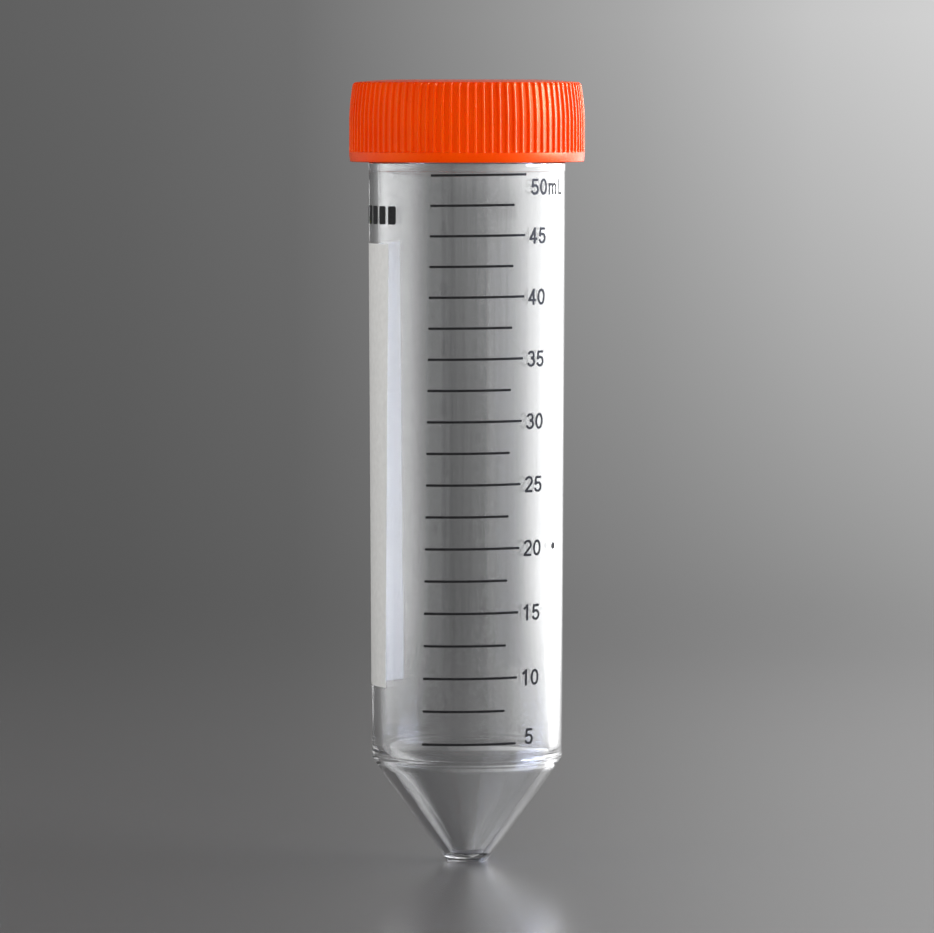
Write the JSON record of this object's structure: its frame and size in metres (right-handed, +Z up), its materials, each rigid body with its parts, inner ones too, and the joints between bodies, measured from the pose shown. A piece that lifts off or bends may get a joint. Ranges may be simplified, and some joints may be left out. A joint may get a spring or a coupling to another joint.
{
  "type": "conical centrifuge tube",
  "caption": "Clear conical-bottom centrifuge tube with a volume scale, a white writing panel and a ribbed screw cap that turns and lifts off its thread.",
  "frame": {"origin": "centre of the tip that the tube stands on", "axes": "+Z up the tube's axis from tip to cap, -Y towards the printed scale, +X to the right of the scale"},
  "size_m": [0.0352, 0.0352, 0.1168],
  "materials": {
    "clear_plastic": "water-clear moulded plastic, glossy inside and out",
    "orange_plastic": "moulded plastic, semi-gloss, slightly translucent",
    "seal_plastic": "soft natural-white plastic, satin",
    "black_ink": "screen-printed ink, satin",
    "white_ink": "screen-printed writing surface, matt"
  },
  "bodies": {
    "tube": {"tube_body": "clear_plastic", "graduation_lines_major": "black_ink", "graduation_lines_minor": "black_ink", "graduation_numerals": "black_ink", "volume_unit_mark": "black_ink", "index_dot": "black_ink", "print_blocks": "black_ink", "writing_panel": "white_ink"},
    "seal": {"plug_seal": "seal_plastic"},
    "cap": {"screw_cap": "orange_plastic"}
  },
  "joints": [
    {"name": "cap_lift", "type": "slide", "parent": "tube", "child": "seal", "axis": [0, 0, 1], "range_m": [0, 0.01601]},
    {"name": "cap_turn", "type": "hinge", "parent": "seal", "child": "cap", "pos_m": [0, 0, 0.11], "axis": [0, 0, 1], "range_deg": [0, 1440]}
  ],
  "couplings": [
    {"joint": "cap_lift", "follows": "cap_turn", "m_per_rad": 0.00063662}
  ]
}
